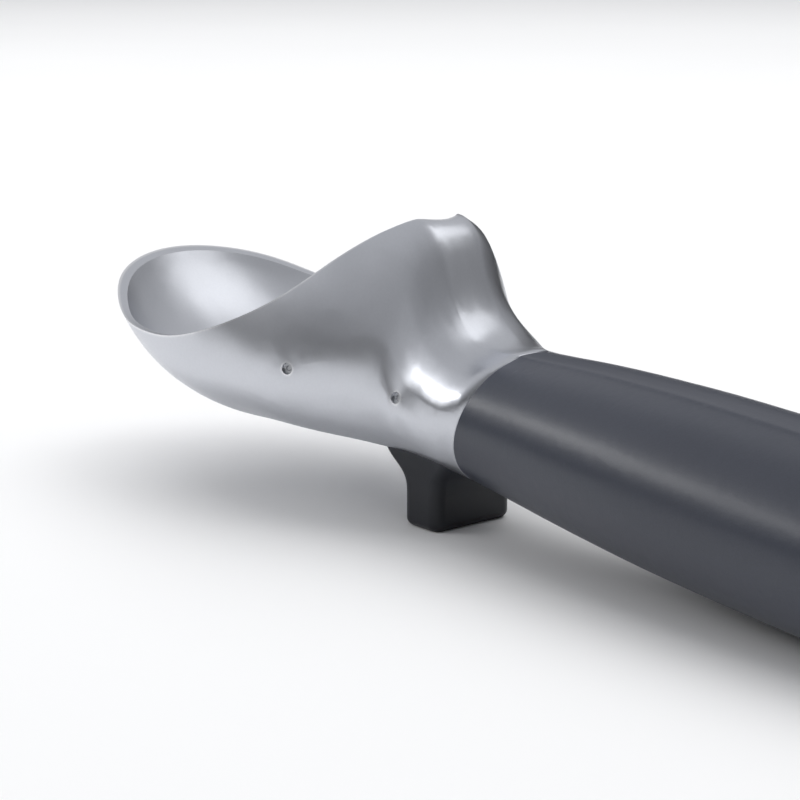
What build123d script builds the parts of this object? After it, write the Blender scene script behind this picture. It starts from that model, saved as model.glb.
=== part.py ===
from build123d import *
import math
import os

os.makedirs("parts", exist_ok=True)

# Ice cream scoop, resting on its foot and on the underside of its handle. Millimetres, +X to
# the bowl's tip, +Z up, the table at z = 0 and the origin below the middle of the length.

# Reach of the head along X, length of the handle along its own axis
head_reach = 85.6
handle_length = 133.5

# Collar, where the metal neck meets the handle, and the slope of the handle
collar_half_height = 10.2
collar_half_width = 12.05
collar_lean = 16.8
collar_bevel = 0.25
handle_tilt = 4.15

# Handle: (distance behind the collar, half height)
grip_shoulder = (20.0, 11.75)
grip_swell = (38.0, 12.55)
grip_full = (58.0, 12.8)
grip_rear = (90.0, 11.5)
cap_seam = (119.5, 8.9)
grip_skin = 2.2
seam_bevel = 0.2

# End cap: rounding of the dome, flat at its very end, and the spigot inside the handle
dome_taper = 0.1
dome_squareness = 2.4
dome_end = 0.6
spigot_length = 9.0
spigot_clearance = 0.1
spigot_gap = 0.3

# Tang behind the neck, its pocket in the core, and the pins across it
tang_length = 64.0
tang_width = 12.0
tang_thickness = 6.5
tang_corner = 1.2
tang_root = 5.0
tang_end_bevel = 1.0
pocket_clearance = 0.2
pocket_end_gap = 0.5
tang_pin_first = 26.0
tang_pin_from_end = 12.0
tang_pin_radius = 1.5
tang_pin_half_length = 11.6
tang_pin_bore = 0.9
tang_pin_slot = 0.6
pin_clearance = 0.02

# Gasket between the neck and the core
gasket_thickness = 1.2
gasket_margin = 0.8
gasket_clearance = 0.1
gasket_hole_gap = 0.8

# Head outline in side view: heights are measured from the collar's centre
peak = (16.0, 27.0)
rim_behind = [(9.0, 19.2), (13.0, 24.6)]
rim_points = [(22.0, 23.9), (30.0, 16.2), (40.0, 10.6), (50.0, 7.4), (60.0, 6.8), (70.0, 8.1), (80.0, 11.8)]
tip_height = 13.9
rim_beyond = (94.6, 17.3)
cut_height = 60.0
keel_neck = (16.0, -8.2)
keel_belly = (28.0, -7.8)
crown_sweep = [(4.0, 10.2), (8.0, 11.9), (11.5, 15.7)]
crown_top = (16.7, 26.7)

# Head sections: (distance, half width), height of the widest line, and the shape above it
neck_width = (5.0, 12.7)
shoulder_width = (14.0, 14.0)
flare_widths = [(24.0, 18.2), (32.0, 21.5), (40.0, 22.9)]
bowl_half_width = 24.2
spine_neck = (8.0, 1.1)
spine_shoulder = (20.0, 2.0)
spine_flare = (32.0, 3.0)
spine_bowl = 4.0
neck_square = (9.0, 2.4)
shoulder_square = (16.0, 4.0)
bowl_square_from = 30.0
bowl_square = 3.0
belly_square = 2.0
neck_taper = (8.0, 0.03)
shoulder_taper = (14.0, 0.46)
flare_taper = (26.0, 0.16)
neck_lean = (10.0, 9.0)
upright_from = 22.0

# The front of the bowl fans round a line across the head, above the bowl: (angle, distance)
fan_x = 47.0
fan_height = 40.0
fan_end = 58.0
fan_keel = [(0.0, 47.8), (20.0, 47.0), (40.0, 46.9), (fan_end, 46.6)]
fan_belly_end = 32.4
fan_widths = [(15.0, 24.7), (30.0, 23.8), (43.0, 22.8), (fan_end, 20.5)]
fan_clear = 8.0

# Hollow of the bowl, in the same fan, carried on behind it to the back wall
lip = 1.1
back_lips = [(-60.0, 1.8), (-36.0, 1.2), (0.0, lip)]
floor_wall = 1.7
back_hollow = [(-72.0, 29.8), (-67.0, 33.2), (-62.0, 36.3), (-50.0, 40.0), (-36.0, 43.4), (-18.0, 45.7)]
back_hollow_widths = [(-72.0, 3.6), (-67.0, 4.6)]
back_hollow_depth = 5.0

# Foot under the neck: a rubber cover with a flared top over a rigid core seated in the neck
foot_x = 13.05
foot_width = 15.0
foot_depth = 7.7
foot_corner = 1.8
foot_edge = 1.2
foot_flare = [(4.2, 0.0), (2.6, 0.25), (1.4, 0.85), (0.3, 1.8), (-0.9, 2.9), (-3.0, 4.2)]
foot_flare_side = 0.25
foot_skin = 1.0
foot_sole = 1.8
foot_seat = 3.0
foot_seat_clearance = 0.1
foot_overlap = 3.4

# Foot screw, driven from below into the neck
screw_radius = 1.0
screw_head_radius = 1.9
screw_head_height = 1.3
screw_head_depth = 0.2
screw_bite = 6.0
screw_clearance = 0.15
screw_end_bevel = 0.3
screw_access_gap = 0.25
hex_across = 1.5
hex_depth = 0.8

# Round pin ends in the near side of the head: (distance from the collar, height, pin length)
side_pins_at = [(11.4, 2.9, 3.0), (28.1, 5.3, 3.0)]
side_pin_radius = 0.85
side_pin_recess = 0.2
side_pin_dimple = 0.4


def smooth(points, at):
    """A curve through (place, value) points that never swings past them."""
    xs = [p[0] for p in points]
    ys = [p[1] for p in points]
    at = min(max(at, xs[0]), xs[-1])
    steps = [(b[1] - a[1]) / (b[0] - a[0]) for a, b in zip(points, points[1:])]
    slopes = [steps[0]]
    for before, after in zip(steps, steps[1:]):
        slopes.append(2 * before * after / (before + after) if before * after > 0 else 0.0)
    slopes.append(steps[-1])
    i = max(j for j in range(len(steps)) if xs[j] <= at)
    span = xs[i + 1] - xs[i]
    t = (at - xs[i]) / span
    start = (1 + 2 * t) * (1 - t) ** 2 * ys[i] + t * (1 - t) ** 2 * span * slopes[i]
    end = t * t * (3 - 2 * t) * ys[i + 1] + t * t * (t - 1) * span * slopes[i + 1]
    return start + end


def bulge(share, squareness):
    """How wide a soft oval still is at a share of its height, from 1 down to 0."""
    return max(0.0, 1 - min(share, 1.0) ** squareness) ** (1 / squareness)


def oval(half_width, up, down, square_up=2.0, square_down=2.0, taper=0.0, count=12):
    """Points up one side of a soft oval, from its lowest point to its highest."""
    points = []
    for k in range(count + 1):
        angle = math.pi * k / count - math.pi / 2
        rise, reach = abs(math.sin(angle)), max(math.cos(angle), 0.0)
        if k > count / 2:
            v = rise ** (2 / square_up)
            points.append((half_width * reach ** (2 / square_up) * (1 - taper * v), v * up))
        else:
            v = rise ** (2 / square_down)
            points.append((half_width * reach ** (2 / square_down), -v * down))
    points[0] = (0.0, -down)
    points[-1] = (0.0, up)
    return points


def far_side(outline):
    """The mirror image of an outline, from its highest point back to its lowest."""
    return [(-u, v) for u, v in reversed(outline)]


# Each half outline meets its mirror image level, at the keel and at the crown
over_crown = [(1, 0), (-1, 0)]
under_keel = [(-1, 0), (1, 0)]

# Handle shape
tilt = math.radians(handle_tilt)
collar_x = (handle_length * math.cos(tilt) - head_reach) / 2
oval_ratio = collar_half_width / collar_half_height
lean_behind = [(0.0, collar_lean), (grip_shoulder[0], handle_tilt), (handle_length, handle_tilt)]
grip_profile = [(0.0, collar_half_height), grip_shoulder, grip_swell, grip_full, grip_rear, cap_seam]


def grip_half(s):
    """Half height of the handle at a distance behind the collar."""
    past = s - cap_seam[0]
    if past <= 0:
        return smooth(grip_profile, s)
    share = past / (handle_length - cap_seam[0])
    return max(dome_end, (cap_seam[1] - dome_taper * past) * bulge(share, dome_squareness))


# The collar stands as high as lets the underside of the handle just touch the table
collar_z = max(s * math.sin(tilt) + grip_half(s) * math.cos(tilt) for s in range(int(handle_length)))


def cross_plane(x, z, lean):
    """A plane across the length, its up axis leaning back by lean degrees."""
    angle = math.radians(lean)
    normal = (math.cos(angle), 0, math.sin(angle))
    return Plane(origin=(collar_x + x, 0, collar_z + z), x_dir=(0, 1, 0), z_dir=normal)


def grip_plane(s):
    """A plane across the handle, from the leaning collar to square with the handle's axis."""
    return cross_plane(-s * math.cos(tilt), -s * math.sin(tilt), smooth(lean_behind, s))


def square_plane(s):
    """A plane square with the handle's axis at a distance behind the collar."""
    return cross_plane(-s * math.cos(tilt), -s * math.sin(tilt), handle_tilt)


def axis_point(s):
    """The point of the handle's axis at a distance behind the collar, in side view."""
    return collar_x - s * math.cos(tilt), collar_z - s * math.sin(tilt)


def grip_section(s, inset=0.0):
    """The handle's oval at a distance behind the collar, drawn in by inset."""
    half = grip_half(s) / math.cos(math.radians(smooth(lean_behind, s) - handle_tilt))
    return oval(grip_half(s) * oval_ratio - inset, half - inset, half - inset)


# Head shape: guide lines along the head, then round the fan
lean_line = [(0.0, collar_lean), neck_lean, (upright_from, 0.0), (fan_x, 0.0)]
collar_up = collar_half_height / math.cos(math.radians(collar_lean - handle_tilt))
spine = [(0.0, 0.0), spine_neck, spine_shoulder, spine_flare, (fan_x, spine_bowl)]
keel = [(0.0, -collar_up), keel_neck, keel_belly, (fan_x, fan_height - fan_keel[0][1])]
crown = [(0.0, collar_up)] + crown_sweep
crown += [crown_top, (fan_x, crown_top[1])]
width_line = [(0.0, collar_half_width), neck_width, shoulder_width] + flare_widths
width_line += [(fan_x, bowl_half_width)]
square_line = [(0.0, 2.0), neck_square, shoulder_square]
square_line += [(bowl_square_from, bowl_square), (fan_x, bowl_square)]
taper_line = [(0.0, 0.0), neck_taper, shoulder_taper, flare_taper, (fan_x, 0.0)]
fan_belly = [(0.0, fan_height - spine_bowl), (fan_end, fan_belly_end)]
fan_width = [(0.0, bowl_half_width)] + fan_widths
station_shares = (0, 0.06, 0.12, 0.18, 0.23, 0.275, 0.32, 0.365, 0.43, 0.52, 0.63, 0.75, 0.88, 1)
stations = [collar_bevel + share * (fan_x - collar_bevel) for share in station_shares]
fan_angles = (12, 24, 36, 47, 53, fan_end)


def head_section(x, inset=0.0):
    """The head's section at a distance in front of the collar, as its plane and outline."""
    z = smooth(spine, x)
    up = smooth(crown, x) - z - inset
    down = z - smooth(keel, x) - inset
    half_width = smooth(width_line, x) - inset
    outline = oval(half_width, up, down, smooth(square_line, x), belly_square, smooth(taper_line, x))
    return cross_plane(x, z, smooth(lean_line, x)), outline


def fan_place(angle, radius):
    """The point of the side view at an angle and distance from the fan's line."""
    turn = math.radians(angle)
    return fan_x + radius * math.sin(turn), fan_height - radius * math.cos(turn)


def fan_section(angle):
    """The bowl's section at an angle of the fan, as its plane and outline."""
    belly = smooth(fan_belly, angle)
    x, z = fan_place(angle, belly)
    down = smooth(fan_keel, angle) - belly
    outline = oval(smooth(fan_width, angle), belly - fan_clear, down, bowl_square, belly_square)
    return cross_plane(x, z, angle), outline


def head_half_width(x, z):
    """Half width of the head's outside at a point of the side view."""
    if x > fan_x:
        angle = math.degrees(math.atan2(x - fan_x, fan_height - z))
        radius = math.hypot(x - fan_x, fan_height - z)
        belly = smooth(fan_belly, angle)
        share = (radius - belly) / (smooth(fan_keel, angle) - belly)
        if share > 0:
            return smooth(fan_width, angle) * bulge(share, belly_square)
        return smooth(fan_width, angle) * bulge(-share, bowl_square)
    at = x
    for _ in range(4):
        lean = math.radians(smooth(lean_line, at))
        at = x + (z - smooth(spine, at)) * math.tan(lean)
    middle = smooth(spine, at)
    rise = (z - middle) / math.cos(lean)
    if rise < 0:
        return smooth(width_line, at) * bulge(rise / (smooth(keel, at) - middle), belly_square)
    share = rise / (smooth(crown, at) - middle)
    half_width = smooth(width_line, at) * (1 - smooth(taper_line, at) * min(share, 1.0))
    return half_width * bulge(share, smooth(square_line, at))


def rim_radius(angle):
    """Distance from the fan's line to the rim, or to the hollow's floor where that comes first."""
    above, below = 0.0, smooth(hollow_keel, angle)
    for _ in range(20):
        middle = (above + below) / 2
        x, z = fan_place(angle, middle)
        if z > smooth(rim_line, x):
            above = middle
        else:
            below = middle
    return above


rim_line = rim_behind + [peak] + rim_points + [(head_reach, tip_height)]
hollow_keel = back_hollow + [(a, r - floor_wall + (floor_wall - lip) * a / fan_end) for a, r in fan_keel]
hollow_angles = (-72, -67, -62, -54, -45, -36, -26, -14, 0, 12, 24, 36, 47, 53, fan_end)


def hollow_section(angle):
    """The hollow's section at an angle of the fan, a lip thickness inside the head's rim."""
    floor = smooth(hollow_keel, angle)
    if angle >= 0:
        belly = smooth(fan_belly, angle)
        width = smooth(fan_width, angle) - lip
    else:
        belly = min(rim_radius(angle), floor - back_hollow_depth)
        width = head_half_width(*fan_place(angle, rim_radius(angle))) - smooth(back_lips, angle)
    if angle <= back_hollow_widths[-1][0]:
        width = smooth(back_hollow_widths, angle)
    x, z = fan_place(angle, belly)
    return cross_plane(x, z, angle), oval(width, belly - fan_clear, floor - belly, bowl_square)


def side_plane(x, z):
    """A plane touching the near side of the head, its normal pointing outward."""
    along = head_half_width(x + 0.5, z) - head_half_width(x - 0.5, z)
    rise = head_half_width(x, z + 0.5) - head_half_width(x, z - 0.5)
    origin = (collar_x + x, head_half_width(x, z), collar_z + z)
    return Plane(origin=origin, x_dir=(1, along, 0), z_dir=(-along, 1, -rise))


grip_shares = (0, 0.035, 0.07, 0.12, 0.17, 0.23, 0.32, 0.4, 0.48, 0.6, 0.7, 0.8, 0.87, 0.94, 1)
grip_end = cap_seam[0] - seam_bevel
core_end = cap_seam[0] - spigot_length - spigot_gap
dome_start = cap_seam[0] + seam_bevel
dome_shares = (0, 0.2, 0.4, 0.58, 0.74, 0.86, 0.94, 0.985, 1)
pocket_width = tang_width + 2 * pocket_clearance
pocket_thickness = tang_thickness + 2 * pocket_clearance
tang_pin_centres = [axis_point(tang_pin_first), axis_point(tang_length - tang_pin_from_end)]
foot_centre = collar_x + foot_x
foot_top = collar_z + smooth(keel, foot_x)
core_depth = foot_depth - 2 * foot_skin
core_width = foot_width - 2 * foot_skin
core_corner = foot_corner - foot_skin
seat_depth = core_depth + 2 * foot_seat_clearance
seat_width = core_width + 2 * foot_seat_clearance
core_top = foot_top + foot_seat
screw_seat = foot_sole + screw_head_depth + screw_head_height

# The bowl's hollow, cut out of the head below: one half of it, and its mirror image
with BuildPart() as hollow:
    for angle in hollow_angles:
        section_plane, outline = hollow_section(angle)
        with BuildSketch(section_plane):
            with BuildLine():
                Spline(outline, tangents=over_crown)
                Line(outline[-1], outline[0])
            make_face()
    loft()
    mirror(about=Plane.XZ)

# Outside of the head before anything is cut from it
with BuildPart() as head_blank:
    for x in stations:
        section_plane, outline = head_section(x)
        with BuildSketch(section_plane):
            with BuildLine():
                Spline(outline, tangents=over_crown)
                Line(outline[-1], outline[0])
            make_face()
    for angle in fan_angles:
        section_plane, outline = fan_section(angle)
        with BuildSketch(section_plane):
            with BuildLine():
                Spline(outline, tangents=over_crown)
                Line(outline[-1], outline[0])
            make_face()
    loft()
    mirror(about=Plane.XZ)

# Tang that runs from inside the neck into the handle
with BuildPart() as tang:
    with BuildSketch(square_plane(-tang_root)):
        RectangleRounded(tang_width, tang_thickness, tang_corner)
    extrude(amount=-tang_root - tang_length)
    chamfer(tang.faces().sort_by(Axis.X)[0].edges(), tang_end_bevel)

# Cast head: bowl, back wall and neck in one piece, with the tang behind the collar
with BuildPart() as scoop_head:
    add(head_blank.part)
    for x, inset in ((0.0, collar_bevel), (collar_bevel, 0.0)):
        section_plane, outline = head_section(x, inset)
        with BuildSketch(section_plane):
            with BuildLine():
                Spline(outline, tangents=over_crown)
                Spline(far_side(outline), tangents=under_keel)
            make_face()
    loft(ruled=True)
    add(hollow.part, mode=Mode.SUBTRACT)
    with BuildSketch(Plane.XZ):
        with BuildLine():
            rim = Spline([(collar_x + x, collar_z + z) for x, z in rim_line + [rim_beyond]])
            above = [(rim @ 1).X, (rim @ 0).X]
            Polyline(rim @ 1, *[(x, collar_z + cut_height) for x in above], rim @ 0)
        make_face()
    extrude(amount=2 * bowl_half_width, both=True, mode=Mode.SUBTRACT)
    add(tang.part)
    with BuildSketch(Plane.XZ):
        with Locations(*tang_pin_centres):
            Circle(tang_pin_radius + pin_clearance)
    extrude(amount=tang_width, both=True, mode=Mode.SUBTRACT)
    with BuildSketch(Plane.XY.offset(core_top + foot_seat_clearance)):
        with Locations((foot_centre, 0)):
            RectangleRounded(seat_depth, seat_width, core_corner)
    extrude(amount=-2 * foot_seat, mode=Mode.SUBTRACT)
    with BuildSketch(Plane.XY.offset(core_top)):
        with Locations((foot_centre, 0)):
            Circle(screw_radius + pin_clearance)
    extrude(amount=screw_bite + screw_clearance, mode=Mode.SUBTRACT)
    for x, z, length in side_pins_at:
        with BuildSketch(side_plane(x, z)):
            Circle(side_pin_radius + pin_clearance)
        extrude(amount=-side_pin_recess - length, mode=Mode.SUBTRACT)
        with BuildSketch(side_plane(x, z)):
            Circle(side_pin_radius + pin_clearance)
        extrude(amount=1, mode=Mode.SUBTRACT)
scoop_head.part.label = "scoop_head"
export_step(scoop_head.part, "parts/scoop_head.step")

# Pin ends set a little below the side of the head, each with a dimple
with BuildPart() as side_pins:
    for x, z, length in side_pins_at:
        with BuildSketch(side_plane(x, z).offset(-side_pin_recess)):
            Circle(side_pin_radius)
        extrude(amount=-length)
        with BuildSketch(side_plane(x, z).offset(-side_pin_recess)):
            Circle(side_pin_dimple)
        extrude(amount=-side_pin_dimple / 2, taper=30, mode=Mode.SUBTRACT)
side_pins.part.label = "side_pins"
export_step(side_pins.part, "parts/side_pins.step")

# The whole inside of the grip, shared by the core and the grip around it
with BuildPart() as core_blank:
    for share in grip_shares:
        s = share * cap_seam[0]
        outline = grip_section(s, grip_skin)
        with BuildSketch(grip_plane(s)):
            with BuildLine():
                Spline(outline, tangents=over_crown)
                Spline(far_side(outline), tangents=under_keel)
            make_face()
    loft()

# Space of the gasket, on the collar's plane
with BuildPart() as gasket_seat:
    outline = grip_section(0, grip_skin + gasket_margin)
    with BuildSketch(grip_plane(0)):
        with BuildLine():
            Spline(outline, tangents=over_crown)
            Spline(far_side(outline), tangents=under_keel)
        make_face()
    extrude(amount=-gasket_thickness)

# Rigid core of the handle, with the pocket for the tang
with BuildPart() as handle_core:
    add(core_blank.part)
    split(bisect_by=square_plane(core_end), keep=Keep.TOP)
    with BuildSketch(square_plane(-tang_root)):
        RectangleRounded(pocket_width, pocket_thickness, tang_corner)
    extrude(amount=-tang_root - tang_length - pocket_end_gap, mode=Mode.SUBTRACT)
    with BuildSketch(Plane.XZ):
        with Locations(*tang_pin_centres):
            Circle(tang_pin_radius + pin_clearance)
    extrude(amount=2 * tang_pin_half_length, both=True, mode=Mode.SUBTRACT)
    add(gasket_seat.part, mode=Mode.SUBTRACT)
handle_core.part.label = "handle_core"
export_step(handle_core.part, "parts/handle_core.step")

# Flat oval gasket, with room for the tang
with BuildPart() as neck_gasket:
    outline = grip_section(0, grip_skin + gasket_margin + gasket_clearance)
    with BuildSketch(grip_plane(0)):
        with BuildLine():
            Spline(outline, tangents=over_crown)
            Spline(far_side(outline), tangents=under_keel)
        make_face()
    extrude(amount=-gasket_thickness)
    with BuildSketch(square_plane(-tang_root)):
        RectangleRounded(tang_width + gasket_hole_gap, tang_thickness + gasket_hole_gap, tang_corner)
    extrude(amount=-4 * tang_root, mode=Mode.SUBTRACT)
neck_gasket.part.label = "neck_gasket"
export_step(neck_gasket.part, "parts/neck_gasket.step")

# Soft outer grip moulded round the core
with BuildPart() as handle_grip:
    for share in grip_shares:
        s = share * grip_end
        outline = grip_section(s)
        with BuildSketch(grip_plane(s)):
            with BuildLine():
                Spline(outline, tangents=over_crown)
                Spline(far_side(outline), tangents=under_keel)
            make_face()
    loft()
    for s, inset in ((grip_end, 0.0), (cap_seam[0], seam_bevel)):
        outline = grip_section(s, inset)
        with BuildSketch(grip_plane(s)):
            with BuildLine():
                Spline(outline, tangents=over_crown)
                Spline(far_side(outline), tangents=under_keel)
            make_face()
    loft(ruled=True)
    add(core_blank.part, mode=Mode.SUBTRACT)
handle_grip.part.label = "handle_grip"
export_step(handle_grip.part, "parts/handle_grip.step")

# Domed cap that closes the rear of the handle, with its spigot inside the grip
with BuildPart() as end_cap:
    for share in dome_shares:
        s = dome_start + share * (handle_length - dome_start)
        outline = grip_section(s)
        with BuildSketch(grip_plane(s)):
            with BuildLine():
                Spline(outline, tangents=over_crown)
                Spline(far_side(outline), tangents=under_keel)
            make_face()
    loft()
    for s, inset in ((cap_seam[0], seam_bevel), (dome_start, 0.0)):
        outline = grip_section(s, inset)
        with BuildSketch(grip_plane(s)):
            with BuildLine():
                Spline(outline, tangents=over_crown)
                Spline(far_side(outline), tangents=under_keel)
            make_face()
    loft(ruled=True)
    for s in (cap_seam[0], cap_seam[0] - spigot_length / 2, cap_seam[0] - spigot_length):
        outline = grip_section(s, grip_skin + spigot_clearance)
        with BuildSketch(grip_plane(s)):
            with BuildLine():
                Spline(outline, tangents=over_crown)
                Spline(far_side(outline), tangents=under_keel)
            make_face()
    loft()
end_cap.part.label = "end_cap"
export_step(end_cap.part, "parts/end_cap.step")

# Slotted spring pins across the tang
with BuildPart() as tang_pins:
    with BuildSketch(Plane.XZ):
        with Locations(*tang_pin_centres):
            Circle(tang_pin_radius)
            Circle(tang_pin_bore, mode=Mode.SUBTRACT)
        with Locations(*[(x, z + tang_pin_radius) for x, z in tang_pin_centres]):
            Rectangle(tang_pin_slot, tang_pin_radius * 2, mode=Mode.SUBTRACT)
    extrude(amount=tang_pin_half_length, both=True)
tang_pins.part.label = "tang_pins"
export_step(tang_pins.part, "parts/tang_pins.step")

# Rigid core of the foot, seated in the neck
with BuildPart() as foot_core:
    with BuildSketch(Plane.XY.offset(foot_sole)):
        with Locations((foot_centre, 0)):
            RectangleRounded(core_depth, core_width, core_corner)
    extrude(amount=core_top - foot_sole)
    with BuildSketch(Plane.XY.offset(foot_sole)):
        with Locations((foot_centre, 0)):
            Circle(screw_head_radius + screw_clearance)
    extrude(amount=screw_seat - foot_sole, mode=Mode.SUBTRACT)
    with BuildSketch(Plane.XY.offset(screw_seat)):
        with Locations((foot_centre, 0)):
            Circle(screw_radius + screw_clearance)
    extrude(amount=core_top - screw_seat, mode=Mode.SUBTRACT)
foot_core.part.label = "foot_core"
export_step(foot_core.part, "parts/foot_core.step")

# Rubber cover of the foot, flared where it meets the underside of the neck
with BuildPart() as foot_cover:
    with BuildSketch():
        with Locations((foot_centre, 0)):
            RectangleRounded(foot_depth, foot_width, foot_corner)
    extrude(amount=foot_top + foot_overlap)
    fillet(foot_cover.faces().sort_by(Axis.Z)[0].edges(), foot_edge)
    for below, spread in foot_flare:
        with BuildSketch(Plane.XY.offset(foot_top - below)):
            with Locations((foot_centre, 0)):
                side_spread = spread * foot_flare_side
                RectangleRounded(foot_depth + 2 * spread, foot_width + 2 * side_spread, foot_corner)
    loft()
    add(head_blank.part, mode=Mode.SUBTRACT)
    with BuildSketch(Plane.XY.offset(foot_sole)):
        with Locations((foot_centre, 0)):
            RectangleRounded(core_depth, core_width, core_corner)
    extrude(amount=core_top - foot_sole, mode=Mode.SUBTRACT)
    with BuildSketch():
        with Locations((foot_centre, 0)):
            Circle(screw_head_radius + screw_access_gap)
    extrude(amount=foot_sole, mode=Mode.SUBTRACT)
foot_cover.part.label = "foot_cover"
export_step(foot_cover.part, "parts/foot_cover.step")

# Socket head screw that holds the foot
with BuildPart() as foot_screw:
    with BuildSketch(Plane.XY.offset(screw_seat)):
        with Locations((foot_centre, 0)):
            Circle(screw_head_radius)
    extrude(amount=-screw_head_height)
    with BuildSketch(Plane.XY.offset(screw_seat)):
        with Locations((foot_centre, 0)):
            Circle(screw_radius)
    extrude(amount=core_top + screw_bite - screw_seat)
    chamfer(foot_screw.faces().sort_by(Axis.Z)[-1].edges(), screw_end_bevel)
    with BuildSketch(Plane.XY.offset(screw_seat - screw_head_height)):
        with Locations((foot_centre, 0)):
            RegularPolygon(hex_across / 2, 6, major_radius=False)
    extrude(amount=hex_depth, mode=Mode.SUBTRACT)
foot_screw.part.label = "foot_screw"
export_step(foot_screw.part, "parts/foot_screw.step")
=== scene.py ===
"""Ice cream scoop: materials, floor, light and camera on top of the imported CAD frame, in metres."""
import math
import bpy
import numpy as np
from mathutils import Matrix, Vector
from mathutils.kdtree import KDTree


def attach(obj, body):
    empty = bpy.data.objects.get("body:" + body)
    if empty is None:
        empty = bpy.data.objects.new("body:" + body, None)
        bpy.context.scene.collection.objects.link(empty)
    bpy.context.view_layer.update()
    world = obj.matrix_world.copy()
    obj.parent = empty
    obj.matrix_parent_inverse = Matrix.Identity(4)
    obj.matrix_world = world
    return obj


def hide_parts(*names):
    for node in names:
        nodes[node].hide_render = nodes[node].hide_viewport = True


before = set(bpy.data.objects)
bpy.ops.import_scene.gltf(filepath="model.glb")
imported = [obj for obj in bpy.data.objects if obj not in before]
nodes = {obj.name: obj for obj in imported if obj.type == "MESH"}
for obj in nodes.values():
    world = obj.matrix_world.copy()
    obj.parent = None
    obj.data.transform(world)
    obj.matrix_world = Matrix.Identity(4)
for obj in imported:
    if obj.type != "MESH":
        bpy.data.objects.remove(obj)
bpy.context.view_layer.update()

# Camera, placed where the photograph was taken from, for a square image
CAMERA_AT = Vector((-0.197925, 0.20806, 0.09267))
CAMERA_YAW = math.radians(-39.997)
CAMERA_PITCH = math.radians(-13.339)
SENSOR = 36.0
LENS = 99.0
NEAREST_SEEN = 0.01

# Colours, linear red, green and blue
METAL = (0.72, 0.73, 0.75)
METAL_DULL = (0.55, 0.565, 0.605)
METAL_PALE = (0.66, 0.675, 0.715)
METAL_GRAIN = (0.46, 0.47, 0.5)
# Near white painted onto the head's edges: a painted highlight for light caught on the rim, partly edge
# wear
METAL_RUBBED_HIGHLIGHT = (0.9, 0.9, 0.91)
GRIP_SLATE = (0.03, 0.035, 0.052)
FOOT_BLACK = (0.005, 0.006, 0.01)
GASKET_BLACK = (0.02, 0.02, 0.02)
STEEL = (0.5, 0.51, 0.53)
STEEL_DULL = (0.42, 0.43, 0.45)
STEEL_PALE = (0.6, 0.61, 0.63)
NYLON = (0.016, 0.016, 0.018)
NYLON_DARK = (0.013, 0.013, 0.015)
NYLON_PALE = (0.024, 0.024, 0.027)
PAPER = (0.9, 0.9, 0.9)
PAPER_DARK = (0.89, 0.89, 0.89)
PAPER_PALE = (0.91, 0.91, 0.91)

# Roughness, from the glossiest to the dullest part of a surface
METAL_ROUGHNESS = (0.285, 0.34)
GRIP_ROUGHNESS = (0.33, 0.46)
STEEL_ROUGHNESS = (0.29, 0.42)
NYLON_ROUGHNESS = (0.42, 0.58)

# Ends of a noise's range: those with most of it between them, and those that hardly any of it passes
MOST = (0.3, 0.7)
NEARLY_ALL = (0.1, 0.9)

# Worn edges, and on the head edges with a painted highlight: rays per point, and the cosines of a rounded
# normal's turn for the full mark and for none
EDGE_RAYS = 6
EDGE_TURN = (0.7, 0.94)

# Calm shading of the head's neck: how close two points count as one, and the least cosine between
# the normals of two faces that run on into each other
WELD = 2e-6
SAME_FACE = 0.92
# It grows from none to full between these distances from a sharp edge; along the head it grows
# between the first two x and fades between the last two
KEPT_BY_EDGES = (0.0002, 0.0014)
CALM_ALONG = (0.0238, 0.0252, 0.05, 0.058)
CALM_ROUNDS = 70
CALM_STEP = 0.5

FLOOR_SIZE = 5.0

# The studio as (sine of the height, grey), towards the bowl's tip and the other way; and how much
# a direction points towards the tip where the one and the other end
SKY_TIP = [(0.0, 0.02), (0.14, 0.03), (0.36, 0.5), (0.6, 0.65), (0.95, 0.6)]
SKY_REAR = [(0.0, 0.015), (0.16, 0.02), (0.36, 0.3), (0.6, 0.25), (0.95, 0.5)]
SKY_TINT = (1, 1.01, 1.04)
SKY_STRENGTH = 1.0
TIP_TOWARDS = (1.0, 0.1, 0.0)
ALL_REAR = -0.5
ALL_TIP = 0.35


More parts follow.
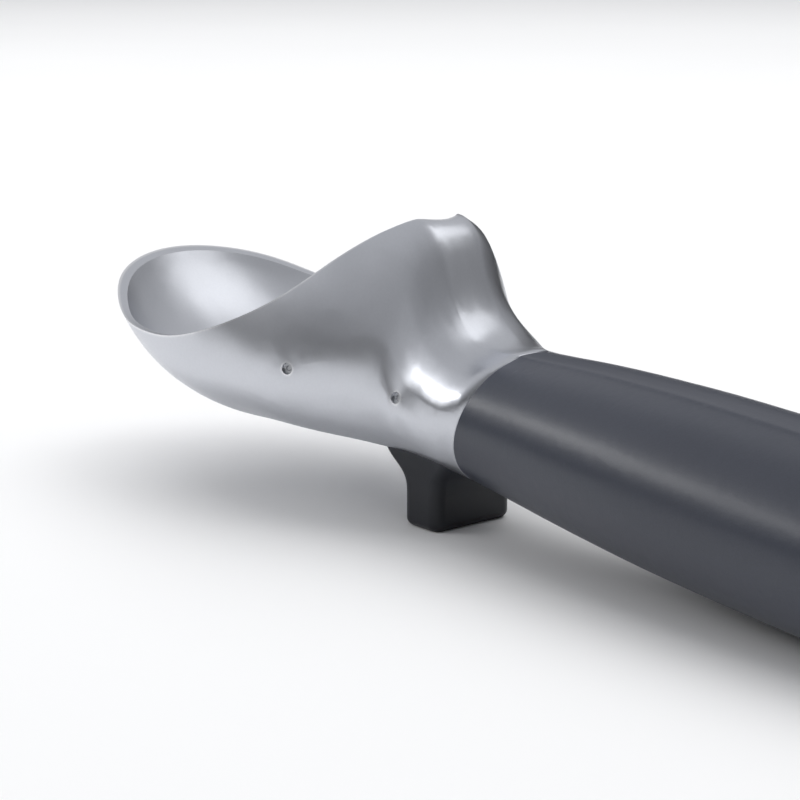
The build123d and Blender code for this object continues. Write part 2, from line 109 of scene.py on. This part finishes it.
class Shader:
    """A material's node tree with its Principled shader, and short calls to wire it up."""

    def __init__(self, name, colour, roughness, metallic=0.0, **constants):
        self.material = bpy.data.materials.new(name)
        self.material.use_nodes = True
        self.tree = self.material.node_tree
        self.principled = self.tree.nodes["Principled BSDF"]
        self.set("Base Color", (*colour, 1))
        self.set("Roughness", roughness)
        self.set("Metallic", metallic)
        for socket, value in constants.items():
            self.set(socket.replace("_", " "), value)
        self.place = self.add("ShaderNodeTexCoord").outputs["Object"]

    def set(self, socket, value):
        """A value that is the same all over the surface."""
        self.principled.inputs[socket].default_value = value

    def add(self, kind, **inputs):
        """A new node; each input is a value, or a socket to link from."""
        made = self.tree.nodes.new(kind)
        for key, value in inputs.items():
            self.feed(made.inputs[key.replace("_", " ")], value)
        return made

    def feed(self, socket, value):
        """Links a socket from another, or sets it to a value."""
        if isinstance(value, bpy.types.NodeSocket):
            self.tree.links.new(value, socket)
        else:
            socket.default_value = value

    def noise(self, scale, detail, stretch=(1, 1, 1)):
        """Noise over the object, finer along the axes that have a larger stretch."""
        place = self.add("ShaderNodeMapping", Vector=self.place, Scale=stretch).outputs["Vector"]
        made = self.add("ShaderNodeTexNoise", Vector=place, Scale=scale, Detail=detail)
        return made.outputs["Fac"]

    def spread(self, value, low, high, ends=MOST):
        """A value spread from its ends to low..high."""
        made = self.add("ShaderNodeMapRange", Value=value)
        made.inputs["From Min"].default_value = ends[0]
        made.inputs["From Max"].default_value = ends[1]
        made.inputs["To Min"].default_value = low
        made.inputs["To Max"].default_value = high
        return made.outputs["Result"]

    def blend(self, amount, first, second):
        """A colour between two colours."""
        made = self.add("ShaderNodeMix")
        made.data_type = "RGBA"
        self.feed(made.inputs[0], amount)
        for socket, colour in ((6, first), (7, second)):
            whole = colour if isinstance(colour, bpy.types.NodeSocket) else (*colour, 1)
            self.feed(made.inputs[socket], whole)
        return made.outputs[2]

    def edge(self, radius):
        """1 on edges and 0 elsewhere, from how far a rounded normal turns away from the true one."""
        rounded = self.add("ShaderNodeBevel", Radius=radius)
        rounded.samples = EDGE_RAYS
        true = self.add("ShaderNodeNewGeometry").outputs["Normal"]
        turn = self.add("ShaderNodeVectorMath")
        turn.operation = "DOT_PRODUCT"
        self.feed(turn.inputs[0], rounded.outputs["Normal"])
        self.feed(turn.inputs[1], true)
        return self.spread(turn.outputs["Value"], 1.0, 0.0, EDGE_TURN)

    def bump(self, height, distance, strength, under=None):
        """Bump the surface by a height, over any bump under it."""
        made = self.add("ShaderNodeBump", Height=height, Distance=distance, Strength=strength)
        if under:
            self.feed(made.inputs["Normal"], under)
        return made.outputs["Normal"]

    def finish(self, colour, roughness=None, normal=None):
        """The material, with what varies over the surface wired to its shader."""
        for socket, value in (("Base Color", colour), ("Roughness", roughness), ("Normal", normal)):
            if value:
                self.feed(self.principled.inputs[socket], value)
        return self.material


def shade(colour, factor, lift=0.0):
    """A colour scaled by a factor, then lifted."""
    return [c * factor + lift for c in colour]


def head_metal():
    """Bead blasted aluminium: satin, faintly mottled, with a painted highlight along its edges for light
    caught on the rim, partly edge wear.
    """
    s = Shader("satin_aluminium", METAL, roughness=0.3, metallic=1.0)
    clouds = s.noise(scale=28, detail=2)
    grain = s.noise(scale=2600, detail=2)
    handling = s.noise(scale=60, detail=2, stretch=(1, 1, 3))
    # Painted highlight: the edges are lightened to near white for light caught on the rim, partly edge
    # wear
    rubbed_and_highlit = s.edge(radius=0.0009)
    colour = s.blend(s.spread(clouds, 0, 1, NEARLY_ALL), METAL_DULL, METAL_PALE)
    colour = s.blend(s.spread(grain, 0, 0.12), colour, METAL_GRAIN)
    colour = s.blend(rubbed_and_highlit, colour, METAL_RUBBED_HIGHLIGHT)
    roughness = s.spread(handling, *METAL_ROUGHNESS, NEARLY_ALL)
    normal = s.bump(grain, distance=0.00002, strength=0.12)
    normal = s.bump(s.noise(scale=160, detail=3), distance=0.0001, strength=0.03, under=normal)
    return s.finish(colour, roughness, normal)


def grip_skin(name, tint=1.0):
    """Slate grey soft-touch skin: satin, a very fine grain, faint rubs, paler along its edges."""
    base = shade(GRIP_SLATE, tint)
    s = Shader(name, base, roughness=0.4, Specular_IOR_Level=0.5, Coat_Weight=0.2, Coat_Roughness=0.25)
    clouds = s.noise(scale=22, detail=4)
    grain = s.noise(scale=3800, detail=3)
    rubs = s.noise(scale=60, detail=6, stretch=(0.25, 1.6, 1.6))
    worn = s.edge(radius=0.0007)
    colour = s.blend(s.spread(clouds, 0, 1), base, shade(base, 1.18))
    colour = s.blend(s.spread(grain, 0, 0.35), colour, shade(base, 0.7))
    colour = s.blend(worn, colour, shade(base, 1.9))
    roughness = s.spread(rubs, *GRIP_ROUGHNESS)
    normal = s.bump(grain, distance=0.00004, strength=0.3)
    return s.finish(colour, roughness, normal)


def rubber(name, base, roughness):
    """Moulded rubber: near black, its gloss uneven, with a fine skin and paler edges."""
    s = Shader(name, base, roughness, Specular_IOR_Level=0.45)
    clouds = s.noise(scale=70, detail=5)
    grain = s.noise(scale=4200, detail=3)
    colour = s.blend(s.spread(clouds, 0, 1), base, shade(base, 1.6, lift=0.002))
    colour = s.blend(s.edge(radius=0.0008), colour, shade(base, 2.2, lift=0.006))
    rough = s.spread(clouds, roughness - 0.06, roughness + 0.08)
    return s.finish(colour, rough, s.bump(grain, distance=0.00004, strength=0.3))


def turned_steel():
    """Plain steel of pins and screw, with fine streaks of tooling."""
    s = Shader("pin_steel", STEEL, roughness=0.32, metallic=1.0)
    streaks = s.noise(scale=2600, detail=3, stretch=(1, 0.15, 1))
    colour = s.blend(s.spread(streaks, 0, 1), STEEL_DULL, STEEL_PALE)
    rough = s.spread(s.noise(scale=700, detail=3), *STEEL_ROUGHNESS)
    return s.finish(colour, rough, s.bump(streaks, distance=0.00002, strength=0.3))


def core_nylon():
    """Moulded nylon of the hidden cores, with faint flow lines."""
    s = Shader("core_nylon", NYLON, roughness=0.5)
    flow = s.noise(scale=120, detail=4, stretch=(0.2, 1, 1))
    colour = s.blend(s.spread(flow, 0, 1), NYLON_DARK, NYLON_PALE)
    rough = s.spread(flow, *NYLON_ROUGHNESS)
    return s.finish(colour, rough, s.bump(s.noise(scale=2400, detail=3), distance=0.00004, strength=0.4))


def paper_floor():
    """Pale paper floor, barely toned."""
    s = Shader("paper_floor", PAPER, roughness=0.85)
    tone = s.noise(scale=3, detail=4)
    colour = s.blend(s.spread(tone, 0, 1), PAPER_DARK, PAPER_PALE)
    fibre = s.bump(s.noise(scale=900, detail=3), distance=0.00005, strength=0.05)
    return s.finish(colour, normal=fibre)


def dress(name, material):
    """Gives a CAD node its material."""
    piece = nodes[name]
    piece.data.materials.clear()
    piece.data.materials.append(material)


def calm_normals(places, normals, sharp, triangles):
    """Evens normals out over the neck, less near its sharp points; it changes them in place."""
    kept = KDTree(len(sharp))
    for point in sharp:
        kept.insert(places[point], point)
    kept.balance()
    room = np.array([kept.find(place)[2] for place in places])
    free = np.interp(room, KEPT_BY_EDGES, (0, 1)) * np.interp(places[:, 0], CALM_ALONG, (0, 1, 1, 0))
    first, second, third = triangles.T
    starts = np.concatenate([first, second, third, second, third, first])
    ends = np.concatenate([second, third, first, first, second, third])
    total = len(normals)
    count = np.bincount(starts, minlength=total)
    for _ in range(CALM_ROUNDS):
        around = [np.bincount(starts, weights=axis[ends], minlength=total) / count for axis in normals.T]
        normals += CALM_STEP * free[:, None] * (np.stack(around, axis=1) - normals)
        normals /= np.linalg.norm(normals, axis=1)[:, None]


def calm_casting(name, node, material):
    """A CAD casting shaded smoothly over the shallow waves round its neck; no point of it moves."""
    mesh = nodes[node].data.copy()
    mesh.name = name
    corner_at = np.array([mesh.vertices[loop.vertex_index].co for loop in mesh.loops])
    corner_normals = np.array([corner.vector for corner in mesh.corner_normals])
    spots = np.unique(np.round(corner_at / WELD).astype(int), axis=0, return_inverse=True)[1].ravel()
    # Corners at one spot are one point where their normals agree, and several where an edge is sharp
    at_spot, normals, point_of = {}, [], []
    for spot, normal in zip(spots.tolist(), corner_normals):
        same = [p for p in at_spot.setdefault(spot, []) if normals[p] @ normal > SAME_FACE]
        if not same:
            same = [len(normals)]
            at_spot[spot].append(same[0])
            normals.append(normal)
        point_of.append(same[0])
    point_of, normals = np.array(point_of), np.array(normals)
    places = np.zeros_like(normals)
    places[point_of] = corner_at
    sharp = [points[0] for points in at_spot.values() if len(points) > 1]
    calm_normals(places, normals, sharp, point_of.reshape(-1, 3))
    mesh.normals_split_custom_set(normals[point_of])
    mesh.materials.clear()
    mesh.materials.append(material)
    piece = bpy.data.objects.new(name, mesh)
    bpy.context.collection.objects.link(piece)
    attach(piece, "root")
    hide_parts(node)


def lamp(name, energy, at, towards, shape, show=True, **size):
    """A soft light at a place, aimed at another; show says whether glossy surfaces mirror it."""
    data = bpy.data.lights.new(name, "AREA")
    data.energy = energy
    data.shape = shape
    for key, value in size.items():
        setattr(data, key, value)
    holder = bpy.data.objects.new(name, data)
    bpy.context.collection.objects.link(holder)
    holder.location = at
    holder.rotation_euler = (Vector(towards) - Vector(at)).to_track_quat("-Z", "Y").to_euler()
    holder.visible_glossy = show


def sky_ramp(sky, height, stops_wanted):
    """A grey, a shade cool, by the height of the direction that is looked in."""
    ramp = sky.nodes.new("ShaderNodeValToRGB")
    sky.links.new(height, ramp.inputs["Fac"])
    stops = ramp.color_ramp.elements
    while len(stops) < len(stops_wanted):
        stops.new(0.5)
    for stop, (at, grey) in zip(stops, stops_wanted):
        stop.position = at
        stop.color = (*(grey * tint for tint in SKY_TINT), 1)
    return ramp.outputs["Color"]


def studio():
    """A world near black at the horizon and light overhead, more so towards the bowl's tip."""
    world = bpy.data.worlds.new("studio")
    bpy.context.scene.world = world
    world.use_nodes = True
    sky = world.node_tree
    direction = sky.nodes.new("ShaderNodeTexCoord").outputs["Generated"]
    axes = sky.nodes.new("ShaderNodeSeparateXYZ")
    sky.links.new(direction, axes.inputs[0])
    towards = sky.nodes.new("ShaderNodeVectorMath")
    towards.operation = "DOT_PRODUCT"
    sky.links.new(direction, towards.inputs[0])
    towards.inputs[1].default_value = TIP_TOWARDS
    share = sky.nodes.new("ShaderNodeMapRange")
    sky.links.new(towards.outputs["Value"], share.inputs["Value"])
    share.inputs["From Min"].default_value = ALL_REAR
    share.inputs["From Max"].default_value = ALL_TIP
    both = sky.nodes.new("ShaderNodeMix")
    both.data_type = "RGBA"
    sky.links.new(share.outputs["Result"], both.inputs[0])
    sky.links.new(sky_ramp(sky, axes.outputs["Z"], SKY_REAR), both.inputs[6])
    sky.links.new(sky_ramp(sky, axes.outputs["Z"], SKY_TIP), both.inputs[7])
    background = sky.nodes["Background"].inputs
    sky.links.new(both.outputs[2], background["Color"])
    background["Strength"].default_value = SKY_STRENGTH


steel = turned_steel()
slate = grip_skin("grip_slate")
black_rubber = rubber("foot_rubber", FOOT_BLACK, roughness=0.42)
nylon = core_nylon()
calm_casting("head_casting", "scoop_head", head_metal())
dress("side_pins", steel)
dress("tang_pins", steel)
dress("foot_screw", steel)
dress("handle_grip", slate)
dress("end_cap", grip_skin("cap_slate", tint=0.92))
dress("foot_cover", black_rubber)
dress("neck_gasket", rubber("gasket_rubber", GASKET_BLACK, roughness=0.6))
dress("handle_core", nylon)
dress("foot_core", nylon)

# Floor
bpy.ops.mesh.primitive_plane_add(size=FLOOR_SIZE, location=(0, 0, 0))
floor = bpy.context.object
floor.name = "floor"
floor.data.materials.append(paper_floor())

# Light: two lamps for the floor and its shadows, which don't show in the metal, and two that do
lamp("overhead", 13.0, at=(0.5, -0.45, 1.2), towards=(0.2, -0.2, 0.0), shape="DISK", show=False, size=1.9)
lamp("fill", 1.2, at=(-0.5, 0.7, 1.2), towards=(0.1, 0, 0.0), shape="DISK", show=False, size=1.6)
lamp("side_strip", 4.6, at=(0.97, 0.9, 0.7), towards=(0, 0, 0.02), shape="RECTANGLE", size=1.0, size_y=0.3)
lamp("soft_box", 1.3, at=(-0.15, -0.45, 0.9), towards=(0.03, 0, 0.03), shape="DISK", size=0.7)
studio()

# Camera
camera = bpy.data.objects.new("camera", bpy.data.cameras.new("camera"))
bpy.context.collection.objects.link(camera)
camera.data.sensor_width = SENSOR
camera.data.lens = LENS
camera.data.clip_start = NEAREST_SEEN
camera.location = CAMERA_AT
flat = math.cos(CAMERA_PITCH)
look = Vector((math.cos(CAMERA_YAW) * flat, math.sin(CAMERA_YAW) * flat, math.sin(CAMERA_PITCH)))
camera.rotation_euler = look.to_track_quat("-Z", "Y").to_euler()
bpy.context.scene.camera = camera
bpy.context.scene.view_settings.view_transform = "Standard"
